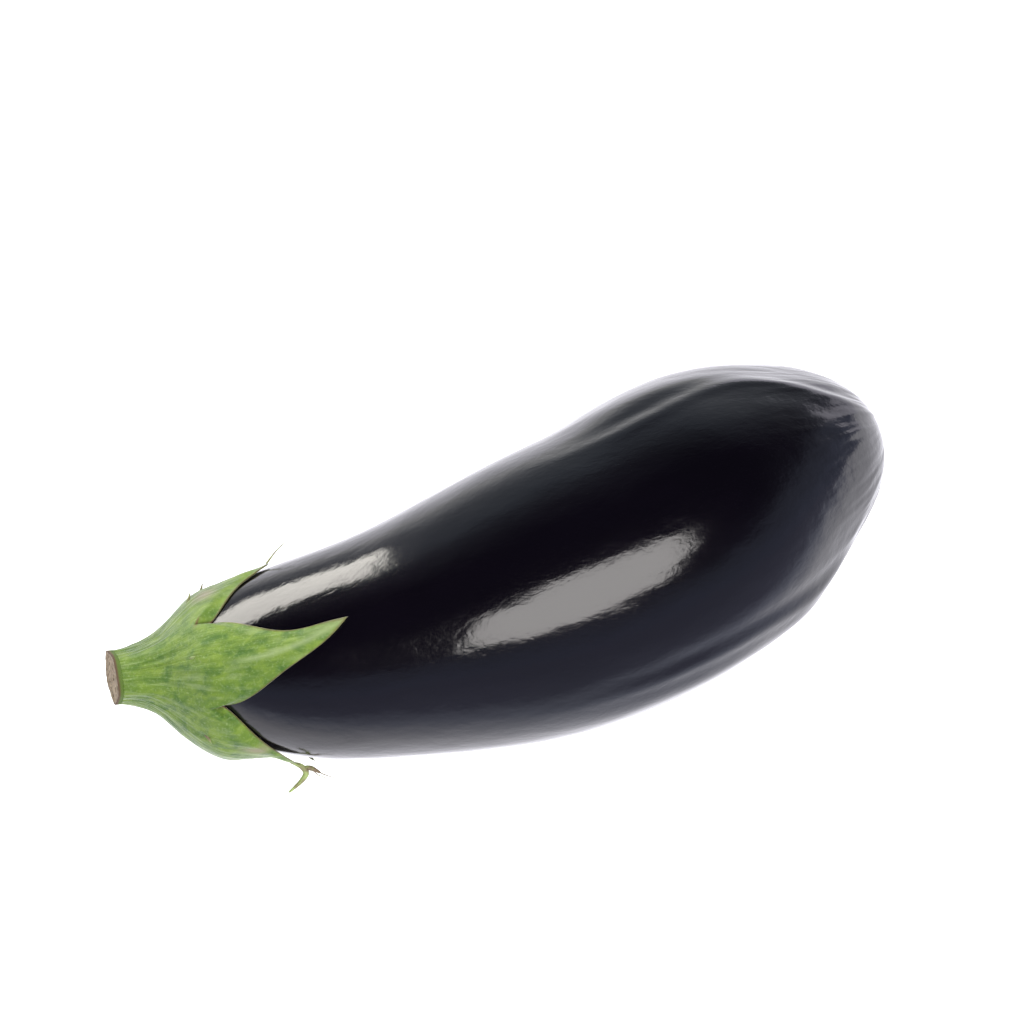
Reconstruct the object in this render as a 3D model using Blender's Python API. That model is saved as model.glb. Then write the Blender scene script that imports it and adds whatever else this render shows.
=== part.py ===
"""A ripe eggplant lying on its side, whole, with its calyx and short cut stem.

Metres, +Z up. The fruit runs along X, its stem towards -X and its blossom end towards +X, and it bends
sideways, both ends towards +Y. The origin is the middle of the flat spot that the belly lies on.

A place on the fruit is a station, its X along the fruit, and a turn, its angle round the fruit in degrees:
0 faces -Y, 90 faces up, 180 faces +Y and 270 faces down.
"""

import math

import bmesh
import bpy
import numpy as np
from mathutils import Vector

MM = 0.001
CLEARANCE = 0.3  # between pieces that touch, in millimetres, as every size below
SHARP_ANGLE = 50  # degrees between faces, past which their edge stays sharp

# Stations along the fruit
CUT_FACE = -133.6
STEM_TOP = -117.0  # where the fruit's own rounded shoulder starts, inside the calyx
BELLY_END = 45.0  # past here the underside rises to the blossom end
BLOSSOM = 101.6

# The fruit: its girth, as a taper between two rounded caps
TAPER = ((-117, 27.7), (-80, 28.9), (-50, 34.0), (-20, 39.6), (10, 42.2), (40, 45.4), (70, 45.9))
SHOULDER_LENGTH, SHOULDER_POWER = 48.0, 2.2
BLOSSOM_CAP_START, BLOSSOM_POWER = -20.0, 2.5

# The fruit: its centre line, sideways and up
SIDE_BEND = (
    (-134, 19.6), (-100, 14.4), (-70, 7.5), (-40, 2.4), (-10, 0.0),
    (20, 3.7), (50, 13.2), (80, 20.9), (101.6, 25.0),
)
BELLY_BLEND = 7.0  # how softly the underside turns up at the belly's end
FLAT_SPOT_DEPTH = 0.9
NECK_RISE, BELLY_RISE = 5.0, 2.0  # how far the underside has left the table, 100 mm from the origin

# Soft ridges along the fruit: a line of (station, turn), and a height
RIDGES = (
    (((0, 131), (33, 118), (60, 104), (78, 84)), 1.0),
    (((-30, -24), (0, -15), (30, -15), (55, -9), (80, 4)), 0.9),
    (((-10, 182), (40, 172), (80, 160)), 0.8),
    (((0, 232), (40, 226), (80, 222)), 0.8),
)
RIDGE_HALF_WIDTH = 9.0  # degrees
RIDGE_FADE_IN = 45.0
# Broad swells and hollows: station, half-length, turn, half-width in degrees, height
SWELLS = (
    (52.0, 17.0, 131.0, 14.0, 1.0),
    (77.0, 12.0, 112.0, 16.0, -1.4),
    (93.0, 12.0, 48.0, 34.0, 1.0),
    (79.0, 16.0, -10.0, 22.0, -1.5),
    (48.0, 12.0, -15.0, 10.0, 0.7),
)
BLOSSOM_SCAR_DEPTH, BLOSSOM_SCAR_RADIUS = 1.2, 4.0
FRUIT_COLUMNS, FRUIT_RINGS = 64, 48
SLOPE_STEP = 0.05  # half the length over which a slope is measured

# The calyx and stem
STEM_RADIUS = 7.3
COLLAR = (
    (-134, 7.3), (-125, 8.4), (-119, 11.2), (-113, 16.5),
    (-107.5, 20.8), (-101.6, 23.0), (-96, 24.6), (-88, 25.5),
)
# The cut isn't square: how far its face slopes, upwards and outwards, and where the stem is square again
CUT_LEANS_UP, CUT_LEANS_OUT = 0.132, 0.065
CUT_LEAN_END = -122.0
STEM_CORNERS = 0.05  # the stem is a rounded pentagon: how far its corners stand out, as a share of its radius
STEM_CORNERS_END = -112.0
# The calyx swells towards the table under the stem: a line of (station, height), at one turn
POUCH = (
    (-134, 0), (-126, 1.1), (-122, 2.9), (-118, 5.2), (-114, 5.7),
    (-108, 4.8), (-102, 3.8), (-96, 2.2), (-88, 0),
)
POUCH_TURN, POUCH_HALF_WIDTH = -40.0, 42.0
NOTCH = -105.2
NOTCH_TURN = 16.0  # the first notch between two sepals; the others follow every 72 degrees
SEPAL_ANGLE = 72.0
# Each sepal: its length past the notches, the turn its tip bends by, how far the tip stands off the skin
SEPALS = (
    (36.2, 16.0, 0.4),
    (17.7, 10.0, 0.6),
    (35.2, 6.0, 0.8),
    (25.2, 27.0, 4.0),
    (21.6, -19.0, 2.5),
)
TIP_BEND_POWER, TIP_LIFT_POWER = 2.0, 3.0  # how late along a sepal its bend and its lift come
# A sepal's outline: (share of its length, share of its width)
SEPAL_OUTLINE = ((0, 1), (0.13, 0.85), (0.3, 0.6), (0.5, 0.34), (0.7, 0.2), (0.86, 0.115), (1, 0))
BLADE_AT_NOTCH, BLADE_AT_TIP = 1.3, 0.85
TABLE_GAP = 0.1  # the lowest that the sepals under the neck hang, over the table
MIDRIB_HEIGHT, MIDRIB_HALF_WIDTH = 0.6, 0.12
MIDRIB_RISES, MIDRIB_SINKS = (-0.2, 0.5), (0.6, 1.0)  # along a sepal, as shares of its length
COLUMNS_PER_SEPAL, CALYX_RINGS = 14, 40
# Of the calyx's rings: the last on the stem's end face, and the one on the sepals' edge
FACE_RINGS, RIM_RING = 3, 25
EDGE_SHARE = 0.985  # how far towards the edge the rings beside it are
HOLLOW_POWER = 1.5  # how closely the hollow's rings crowd at its middle
CORNERS_FADE = 8.0  # the length over which the stem's corners fade out
COLLAR_MARGIN = 2.0  # past the top of the fruit, where the collar starts to lie on the skin
JOIN_SOFTNESS = 0.4  # how round the join of collar and blade is

# The lower sepal's dry tip hooks down and back: rooted in the blade, it goes on by these steps from its tip
HOOKED_SEPAL = 4
HOOK_ROOTS = (0.82, 0.9, 0.96)  # places on the midline, as shares of the way to the tip
HOOK_STEPS = ((0.2, -0.9, -0.9), (-0.7, -1.8, -1.7), (-2.9, -2.9, -2.5), (-6.2, -4.1, -3.2))
HOOK_RADII = (0.3, 0.6, 0.8, 0.9, 0.8, 0.6, 0.4)
# Prickles on the calyx: station, turn, length
PRICKLES = (
    (-110.0, 128, 2.6), (-106.0, 150, 2.4), (-112.0, 60, 2.2),
    (-108.0, 205, 2.5), (-110.0, 268, 1.8), (-111.0, -12, 2.2),
)
PRICKLE_RADIUS, PRICKLE_TIP_RADIUS = 0.7, 0.15
PRICKLE_ROOT = 1.0  # how far it is sunk in
PRICKLE_LEAN = 0.5  # how far it leans forward, as a share of its length
PRICKLE_SIDES = 6

# The cut end
CUT_END_THICKNESS, CUT_END_RIM = 1.5, 0.2
CUT_END_RIM_WIDTH, CUT_END_DISH = 0.12, 0.15  # shares of the radius, and of the thickness
CUT_END_SIDES = 40


def smooth_curve(points):
    """A natural cubic spline through (station, value) points."""
    at, value = (np.array(column, float) for column in zip(*points))
    gap = np.diff(at)
    slope = np.diff(value) / gap
    matrix = np.eye(len(at))
    for i in range(1, len(at) - 1):
        matrix[i, i - 1 : i + 2] = gap[i - 1], 2 * (gap[i - 1] + gap[i]), gap[i]
    bend = np.linalg.solve(matrix, np.concatenate([[0], 6 * np.diff(slope), [0]]))

    def value_at(station):
        i = int(np.clip(np.searchsorted(at, station) - 1, 0, len(gap) - 1))
        after, before = at[i + 1] - station, station - at[i]
        cubic = (bend[i] * after**3 + bend[i + 1] * before**3) / (6 * gap[i])
        left = (value[i] / gap[i] - bend[i] * gap[i] / 6) * after
        right = (value[i + 1] / gap[i] - bend[i + 1] * gap[i] / 6) * before
        return float(cubic + left + right)

    return value_at


taper = smooth_curve(TAPER)
side = smooth_curve(SIDE_BEND)
collar = smooth_curve(COLLAR)
pouch = smooth_curve(POUCH)
sepal_width = smooth_curve(SEPAL_OUTLINE)
ridge_lines = [(smooth_curve(line), line[0][0], height) for line, height in RIDGES]


def smooth_step(value, low, high):
    """An even S from 0 below low to 1 above high."""
    share = min(max((value - low) / (high - low), 0.0), 1.0)
    return share * share * (3 - 2 * share)


def blossom_cap(station):
    share = min(max((station - BLOSSOM_CAP_START) / (BLOSSOM - BLOSSOM_CAP_START), 0.0), 1.0)
    return math.sqrt(max(1 - share**BLOSSOM_POWER, 0.0))


def shoulder_cap(station):
    share = min(max(1 - (station - STEM_TOP) / SHOULDER_LENGTH, 0.0), 1.0)
    return math.sqrt(max(1 - share**SHOULDER_POWER, 0.0))


def girth(station):
    """The fruit's radius at a station."""
    return taper(station) * shoulder_cap(station) * blossom_cap(station)


def height(station):
    """The centre line's height, which keeps the belly on the table and lifts both ends a little."""
    held = station - BELLY_BLEND * math.log1p(math.exp((station - BELLY_END) / BELLY_BLEND))
    rise = NECK_RISE if held < 0 else BELLY_RISE
    return taper(max(held, STEM_TOP)) * blossom_cap(held) - FLAT_SPOT_DEPTH + rise * (held / 100) ** 2


def sideways(station):
    """The unit vector across the centre line, towards +Y."""
    along = (side(station + SLOPE_STEP) - side(station - SLOPE_STEP)) / (2 * SLOPE_STEP)
    return Vector((-along, 1, 0)).normalized()


def place(station, turn, radius, forward=0.0):
    """A point, in metres, at a radius from the centre line, moved forward along it."""
    across = sideways(station)
    angle = math.radians(turn)
    middle = Vector((station, side(station), height(station)))
    out = math.sin(angle) * Vector((0, 0, 1)) - math.cos(angle) * across
    ahead = Vector((across.y, -across.x, 0))
    return (middle + radius * out + forward * ahead) * MM


def bell(value, half_width):
    """A bell curve, 1 at 0 and about a third at half_width."""
    return math.exp(-((value / half_width) ** 2))


def turned_from(turn, other):
    """The turn from another, from -180 to 180."""
    return (turn - other + 180) % 360 - 180


def relief(station, turn):
    """How far the soft ridges and swells raise the skin."""
    raised = 0.0
    for line, start, ridge_height in ridge_lines:
        fade = smooth_step(station, start, start + RIDGE_FADE_IN)
        away = turned_from(turn, line(min(station, BLOSSOM)))
        raised += ridge_height * fade * bell(away, RIDGE_HALF_WIDTH)
    for middle, half_length, swell_turn, half_width, swell_height in SWELLS:
        away = turned_from(turn, swell_turn)
        raised += swell_height * bell(station - middle, half_length) * bell(away, half_width)
    return raised * blossom_cap(station)


def skin(station, turn, lift=0.0):
    """A point on the fruit's skin, or lifted off it along the skin's own normal."""
    low, high = max(station - SLOPE_STEP, STEM_TOP), station + SLOPE_STEP
    steepness = math.atan((girth(high) - girth(low)) / (high - low))
    radius = girth(station) + lift * math.cos(steepness)
    return place(station, turn, radius, -lift * math.sin(steepness))


def named_material(name, colour, roughness):
    material = bpy.data.materials.new(name)
    material.use_nodes = True
    shader = material.node_tree.nodes["Principled BSDF"]
    shader.inputs["Base Color"].default_value = (*colour, 1)
    shader.inputs["Roughness"].default_value = roughness
    shader.inputs["Metallic"].default_value = 0.0
    return material


def add_object(name, bm, collection, material=None):
    """The bmesh as an object, with its normals out and its round faces smooth."""
    bm.normal_update()
    bmesh.ops.recalc_face_normals(bm, faces=bm.faces)
    mesh = bpy.data.meshes.new(name)
    bm.to_mesh(mesh)
    bm.free()
    mesh.shade_smooth()
    mesh.set_sharp_from_angle(angle=math.radians(SHARP_ANGLE))
    if material:
        mesh.materials.append(material)
    piece = bpy.data.objects.new(name, mesh)
    collection.objects.link(piece)
    return piece


def shaped_sphere(columns, rings, point_at):
    """A sphere with each vertex moved to point_at(angle, down), its share of the way to the last pole."""
    bm = bmesh.new()
    bmesh.ops.create_uvsphere(bm, u_segments=columns, v_segments=rings, radius=1)
    for vertex in bm.verts:
        turn = math.degrees(math.atan2(vertex.co.y, vertex.co.x))
        down = math.acos(min(max(vertex.co.z, -1.0), 1.0)) / math.pi
        vertex.co = point_at(turn, down)
    return bm


def fruit_point(turn, down):
    """A point of the body: its girth, ridged, dimpled at the far end and flat where it lies."""
    station = STEM_TOP + (BLOSSOM - STEM_TOP) * (1 - math.cos(math.pi * down)) / 2
    radius = girth(station) + relief(station, turn)
    scar = BLOSSOM_SCAR_DEPTH * math.exp(-((radius / BLOSSOM_SCAR_RADIUS) ** 2)) if station > 0 else 0.0
    point = place(station, turn, radius, -scar)
    point.z = max(point.z, 0.0)
    return point


def build_fruit(collection):
    """The body, a sphere stretched along the fruit."""
    bm = shaped_sphere(FRUIT_COLUMNS, FRUIT_RINGS, fruit_point)
    return add_object("fruit", bm, collection, named_material("purple_skin", (0.012, 0.006, 0.018), 0.18))


def sepal_at(column):
    """Where a column of the calyx, an angle round it, runs.

    It gives the sepal's index, the turn, its place across the sepal, from -1 to 1 at the notches, and the
    station of the sepal's edge there. The columns are spaced evenly along each sepal's edge.
    """
    index = int(column % 360 // SEPAL_ANGLE) % len(SEPALS)
    even = column % SEPAL_ANGLE / (SEPAL_ANGLE / 2) - 1
    across = math.copysign(sepal_width(1 - abs(even)), even)
    turn = NOTCH_TURN + (index + 0.5 + across / 2) * SEPAL_ANGLE
    return index, turn, across, NOTCH + SEPALS[index][0] * (1 - abs(even))


def cut_lean(turn, radius):
    """How far the stem's cut face is forward of square."""
    angle = math.radians(turn)
    return radius * (CUT_LEANS_OUT * math.cos(angle) + CUT_LEANS_UP * math.sin(angle))


def calyx_outside(station, turn, across, past_notch):
    """The calyx's outer radius: of its stem and collar, or of a blade on the skin, whichever is higher."""
    corners = STEM_CORNERS * (1 - smooth_step(station, STEM_CORNERS_END - CORNERS_FADE, STEM_CORNERS_END))
    held = min(station, COLLAR[-1][0])
    stem = collar(held) * (1 + corners * math.cos(math.radians(len(SEPALS) * (turn - NOTCH_TURN))))
    stem += pouch(held) * bell(turned_from(turn, POUCH_TURN), POUCH_HALF_WIDTH)
    if station < STEM_TOP + COLLAR_MARGIN:
        return stem
    blade = BLADE_AT_NOTCH + (BLADE_AT_TIP - BLADE_AT_NOTCH) * min(max(past_notch, 0.0), 1.0)
    midrib = MIDRIB_HEIGHT * smooth_step(past_notch, *MIDRIB_RISES) * bell(across, MIDRIB_HALF_WIDTH)
    over_skin = girth(station) + CLEARANCE + blade + midrib * (1 - smooth_step(past_notch, *MIDRIB_SINKS))
    return over_skin + 0.5 * (stem - over_skin + math.sqrt((stem - over_skin) ** 2 + JOIN_SOFTNESS))


def calyx_point(column, down):
    """A point of the calyx: by rings, the stem's end face, the outside, the sepals' edge, then the hollow."""
    ring = round(down * CALYX_RINGS)
    start = CUT_FACE + CUT_END_THICKNESS + CLEARANCE
    index, turn, across, edge = sepal_at(column)
    if ring <= FACE_RINGS:
        radius = calyx_outside(start, turn, 1.0, 0.0) * ring / FACE_RINGS
        return place(start, turn, radius, cut_lean(turn, radius))
    length, tip_turn, tip_lift = SEPALS[index]
    if ring <= RIM_RING:
        share = EDGE_SHARE * (ring - FACE_RINGS) / (RIM_RING - 1 - FACE_RINGS) if ring < RIM_RING else 1.0
        station = start + share * (NOTCH - start) + share**2 * (edge - NOTCH)
    else:
        share = EDGE_SHARE * ((CALYX_RINGS - ring) / (CALYX_RINGS - 1 - RIM_RING)) ** HOLLOW_POWER
        station = STEM_TOP + share * (edge - STEM_TOP)
    past_notch = max((station - NOTCH) / length, 0.0)
    turned = turn + tip_turn * past_notch**TIP_BEND_POWER
    stand_off = tip_lift * past_notch**TIP_LIFT_POWER
    if ring > RIM_RING:
        return skin(station, turned, CLEARANCE + stand_off)
    radius = calyx_outside(station, turn, across, past_notch)
    if ring == RIM_RING:
        radius = (radius + girth(station) + CLEARANCE) / 2
    lean = cut_lean(turn, radius) * (1 - smooth_step(station, start, CUT_LEAN_END))
    point = place(station, turned, radius + stand_off, lean)
    point.z = max(point.z, TABLE_GAP * MM)
    return point


def build_prickle(station, turn, length, cutters):
    """One prickle, leaning forward, its root sunk into the calyx."""
    surface = calyx_outside(station, turn, 0.5, 0.0)
    root = place(station, turn, surface - PRICKLE_ROOT)
    tip = place(station + PRICKLE_LEAN * length, turn, surface + length)
    bm = bmesh.new()
    bmesh.ops.create_cone(bm, cap_ends=True, segments=PRICKLE_SIDES, radius1=PRICKLE_RADIUS * MM,
                          radius2=PRICKLE_TIP_RADIUS * MM, depth=(tip - root).length)
    bmesh.ops.rotate(bm, verts=bm.verts, matrix=(tip - root).to_track_quat("Z", "Y").to_matrix())
    bmesh.ops.translate(bm, verts=bm.verts, vec=(root + tip) / 2)
    return add_object("prickle", bm, cutters)


def blade_middle(index, past_notch):
    """The middle of a sepal's blade, on its midline."""
    length, tip_turn, tip_lift = SEPALS[index]
    station = NOTCH + length * past_notch
    turn = NOTCH_TURN + (index + 0.5) * SEPAL_ANGLE
    radius = (calyx_outside(station, turn, 0.0, past_notch) + girth(station) + CLEARANCE) / 2
    stand_off = tip_lift * past_notch**TIP_LIFT_POWER
    return place(station, turn + tip_turn * past_notch**TIP_BEND_POWER, radius + stand_off)


def build_hook(cutters):
    """The lower sepal's dry tip, a tapering tube along its own curve."""
    tip = blade_middle(HOOKED_SEPAL, 1.0)
    route = [blade_middle(HOOKED_SEPAL, share) for share in HOOK_ROOTS]
    route += [tip + MM * Vector(step) for step in HOOK_STEPS]
    curve = bpy.data.curves.new("hook", "CURVE")
    curve.dimensions = "3D"
    curve.bevel_depth = MM
    curve.bevel_resolution = 1
    curve.resolution_u = 4
    curve.use_fill_caps = True
    spline = curve.splines.new("NURBS")
    spline.points.add(len(route) - 1)
    spline.use_endpoint_u = True
    spline.order_u = 3
    for point, along, radius in zip(spline.points, route, HOOK_RADII):
        point.co = (*along, 1)
        point.radius = radius
    guide = bpy.data.objects.new("hook", curve)
    cutters.objects.link(guide)
    depsgraph = bpy.context.evaluated_depsgraph_get()
    bm = bmesh.new()
    bm.from_mesh(bpy.data.meshes.new_from_object(guide.evaluated_get(depsgraph)))
    bmesh.ops.remove_doubles(bm, verts=bm.verts, dist=1e-6)
    bpy.data.objects.remove(guide)
    return add_object("hook_tube", bm, cutters)


def build_calyx(collection, cutters):
    """The green piece: stem, collar and sepals as one closed body, with its prickles and hook fused in."""
    bm = shaped_sphere(COLUMNS_PER_SEPAL * len(SEPALS), CALYX_RINGS, calyx_point)
    green = named_material("calyx_green", (0.16, 0.30, 0.04), 0.55)
    calyx = add_object("calyx_and_stem", bm, collection, green)
    for prickle in PRICKLES:
        build_prickle(*prickle, cutters)
    build_hook(cutters)
    union = calyx.modifiers.new("fuse", "BOOLEAN")
    union.operation = "UNION"
    union.operand_type = "COLLECTION"
    union.collection = cutters
    depsgraph = bpy.context.evaluated_depsgraph_get()
    calyx.data = bpy.data.meshes.new_from_object(calyx.evaluated_get(depsgraph))
    calyx.modifiers.clear()
    for piece in list(cutters.objects):
        bpy.data.objects.remove(piece)
    return calyx


def build_cut_end(collection):
    """The dried end of the stem: a thin disc, its rim a little proud."""
    bm = bmesh.new()
    bmesh.ops.create_cone(bm, cap_ends=True, segments=CUT_END_SIDES, radius1=1, radius2=1, depth=1)
    face = [face for face in bm.faces if face.normal.z > 0.9]
    bmesh.ops.inset_region(bm, faces=face, thickness=CUT_END_RIM_WIDTH, depth=0.0)
    bmesh.ops.translate(bm, verts=face[0].verts, vec=(0, 0, -CUT_END_DISH))
    for vertex in bm.verts:
        turn = math.degrees(math.atan2(vertex.co.y, vertex.co.x))
        corner = 1 + STEM_CORNERS * math.cos(math.radians(len(SEPALS) * (turn - NOTCH_TURN)))
        radius = (STEM_RADIUS + CUT_END_RIM) * corner * math.hypot(vertex.co.x, vertex.co.y)
        station = CUT_FACE + CUT_END_THICKNESS * (0.5 - vertex.co.z)
        vertex.co = place(station, turn, radius, cut_lean(turn, radius))
    return add_object("stem_cut_end", bm, collection, named_material("dried_stem", (0.30, 0.22, 0.13), 0.85))


def main():
    for leftover in list(bpy.data.objects):
        bpy.data.objects.remove(leftover)
    eggplant = bpy.data.collections.new("eggplant")
    cutters = bpy.data.collections.new("eggplant_tools")
    for collection in (eggplant, cutters):
        bpy.context.scene.collection.children.link(collection)
    build_fruit(eggplant)
    build_calyx(eggplant, cutters)
    build_cut_end(eggplant)


main()
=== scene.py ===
"""The looks of a ripe eggplant that lies on its side: skin, calyx, cut stem, floor, light and camera.

The sizes below are millimetres and degrees, and a mesh is written in metres, +Z up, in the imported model's
frame. A place on the fruit is a station, its X along the fruit, and a turn, its angle round the fruit: 0 faces
-Y, 90 faces up, 180 faces +Y and 270 faces down.
"""

import logging
import math
from collections.abc import Callable, Sequence
from dataclasses import dataclass
from enum import Enum

import bmesh
import bpy
import numpy as np
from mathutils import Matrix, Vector, noise


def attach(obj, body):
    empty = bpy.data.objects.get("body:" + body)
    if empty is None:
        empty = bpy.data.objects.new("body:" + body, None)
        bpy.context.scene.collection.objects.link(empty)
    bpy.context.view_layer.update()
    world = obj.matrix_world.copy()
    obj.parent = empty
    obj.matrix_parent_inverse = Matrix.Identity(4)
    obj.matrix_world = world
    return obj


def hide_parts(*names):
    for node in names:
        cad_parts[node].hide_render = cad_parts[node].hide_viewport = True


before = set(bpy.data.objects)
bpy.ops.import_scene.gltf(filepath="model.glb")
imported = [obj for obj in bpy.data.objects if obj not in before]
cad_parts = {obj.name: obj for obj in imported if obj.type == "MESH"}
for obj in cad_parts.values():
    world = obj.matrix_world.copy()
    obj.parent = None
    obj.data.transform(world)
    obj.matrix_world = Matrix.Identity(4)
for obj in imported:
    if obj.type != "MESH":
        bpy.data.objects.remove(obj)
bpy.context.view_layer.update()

MM = 0.001
BODY = "root"
SLOPE_STEP = 0.05  # half the length over which the girth's slope is measured
DENT_SEED, FOLD_SEED, WRINKLE_SEED, LUMP_SEED, VEIN_SEED, GRAIN_SEED, RIM_SEED = 1, 8, 2, 3, 4, 5, 6

log = logging.getLogger("eggplant")

Curve = Callable[[np.ndarray], np.ndarray]
Points = Sequence[tuple[float, float]]
Colour = tuple[float, float, float]


class Slot(Enum):
    """The record's material slots."""

    SKIN = "purple_skin"
    GREEN = "calyx_green"
    DRY = "dried_stem"


class Side(Enum):
    """The calyx's five sepals, in the order of their turns from the first notch."""

    CENTRE = 0
    UPPER = 1
    BACK = 2
    BOTTOM = 3
    LOWER = 4


def smooth_curve(points: Points) -> Curve:
    """A natural cubic spline through points.

    Args:
        points: (station, value) pairs, in rising order.

    Returns:
        A function from stations to values.
    """
    at, value = np.array(points, float).T
    gap = np.diff(at)
    slope = np.diff(value) / gap
    matrix = np.eye(len(at))
    for i in range(1, len(at) - 1):
        matrix[i, i - 1 : i + 2] = gap[i - 1], 2 * (gap[i - 1] + gap[i]), gap[i]
    bend = np.linalg.solve(matrix, np.concatenate([[0], 6 * np.diff(slope), [0]]))

    def value_at(station: np.ndarray) -> np.ndarray:
        i = np.clip(np.searchsorted(at, station) - 1, 0, len(gap) - 1)
        after, before = at[i + 1] - station, station - at[i]
        cubic = (bend[i] * after**3 + bend[i + 1] * before**3) / (6 * gap[i])
        left = (value[i] / gap[i] - bend[i] * gap[i] / 6) * after
        right = (value[i + 1] / gap[i] - bend[i + 1] * gap[i] / 6) * before
        return cubic + left + right

    return value_at


def smooth_step(value: np.ndarray, low: float, high: float) -> np.ndarray:
    """An even S from 0 below low to 1 above high."""
    share = np.clip((value - low) / (high - low), 0.0, 1.0)
    return share * share * (3 - 2 * share)


def bell(value: np.ndarray, half_width: float) -> np.ndarray:
    """A bell curve, 1 at 0 and about a third at half_width."""
    return np.exp(-((value / half_width) ** 2))


def turned_from(turn: np.ndarray, other: float | np.ndarray) -> np.ndarray:
    """The turn from another, from -180 to 180."""
    return (turn - other + 180) % 360 - 180


def rough(points: np.ndarray, scale: Sequence[float], seed: int = 0, octaves: int = 3) -> np.ndarray:
    """Smooth noise at each point, about -1 to 1.

    Args:
        points: An array of 3-D points.
        scale: The size of the noise's lumps along each axis, in the points' units.
        seed: Moves the noise, so that no two uses match.
        octaves: How many finer layers are added.

    Returns:
        One value for each point.
    """
    moved = points / np.array(scale, float) + 37.0 * seed
    return np.array([noise.fractal(Vector(point), 0.9, 2.0, octaves) for point in moved])


@dataclass(frozen=True)
class FruitForm:
    """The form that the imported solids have, from the same sizes."""

    stem_top: float = -117.0
    belly_end: float = 45.0
    blossom: float = 101.6
    taper_line: Points = (
        (-117, 27.7), (-80, 28.9), (-50, 34.0), (-20, 39.6), (10, 42.2), (40, 45.4), (70, 45.9)
    )
    shoulder_length: float = 48.0
    shoulder_power: float = 2.2
    cap_start: float = -20.0
    cap_power: float = 2.5
    side_line: Points = (
        (-134, 19.6), (-100, 14.4), (-70, 7.5), (-40, 2.4), (-10, 0.0),
        (20, 3.7), (50, 13.2), (80, 20.9), (101.6, 25.0),
    )
    belly_blend: float = 7.0
    flat_spot_depth: float = 0.9
    neck_rise: float = 5.0
    belly_rise: float = 2.0

    def blossom_cap(self, station: np.ndarray) -> np.ndarray:
        """How far the blossom end's rounding narrows the fruit, from 1 to 0."""
        share = np.clip((station - self.cap_start) / (self.blossom - self.cap_start), 0.0, 1.0)
        return np.sqrt(np.maximum(1 - share**self.cap_power, 0.0))

    def shoulder_cap(self, station: np.ndarray) -> np.ndarray:
        """How far the shoulder's rounding narrows the fruit, from 0 to 1."""
        share = np.clip(1 - (station - self.stem_top) / self.shoulder_length, 0.0, 1.0)
        return np.sqrt(np.maximum(1 - share**self.shoulder_power, 0.0))

    def girth(self, station: np.ndarray) -> np.ndarray:
        """The fruit's radius at each station."""
        return smooth_curve(self.taper_line)(station) * self.shoulder_cap(station) * self.blossom_cap(station)

    def height(self, station: np.ndarray) -> np.ndarray:
        """The centre line's height over the table."""
        held = station - self.belly_blend * np.logaddexp(0.0, (station - self.belly_end) / self.belly_blend)
        rise = np.where(held < 0, self.neck_rise, self.belly_rise)
        thickness = smooth_curve(self.taper_line)(np.maximum(held, self.stem_top)) * self.blossom_cap(held)
        return thickness - self.flat_spot_depth + rise * (held / 100) ** 2

    def place(
        self, station: np.ndarray, turn: np.ndarray, radius: np.ndarray, forward: np.ndarray | float = 0.0
    ) -> np.ndarray:
        """Points at a radius from the centre line.

        Args:
            station: X of each place along the centre line.
            turn: The angle round it, in degrees.
            radius: The distance from it.
            forward: How far the point is moved along it.

        Returns:
            An array of points, in millimetres.
        """
        station, turn, radius = np.broadcast_arrays(*(np.asarray(v, float) for v in (station, turn, radius)))
        side = smooth_curve(self.side_line)
        along = side(station + 0.5) - side(station - 0.5)
        length = np.hypot(along, 1.0)
        angle = np.radians(turn)
        outward = -np.cos(angle) * radius
        x = station + (outward * -along + forward) / length
        y = side(station) + (outward + forward * along) / length
        return np.stack([x, y, self.height(station) + radius * np.sin(angle)], axis=-1)

    def skin(self, station: np.ndarray, turn: np.ndarray, lift: np.ndarray) -> np.ndarray:
        """Points lifted off the skin along its own normal."""
        low, high = np.maximum(station - SLOPE_STEP, self.stem_top), station + SLOPE_STEP
        steepness = np.arctan((self.girth(high) - self.girth(low)) / (high - low))
        radius = self.girth(station) + lift * np.cos(steepness)
        return self.place(station, turn, radius, -lift * np.sin(steepness))


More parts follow.
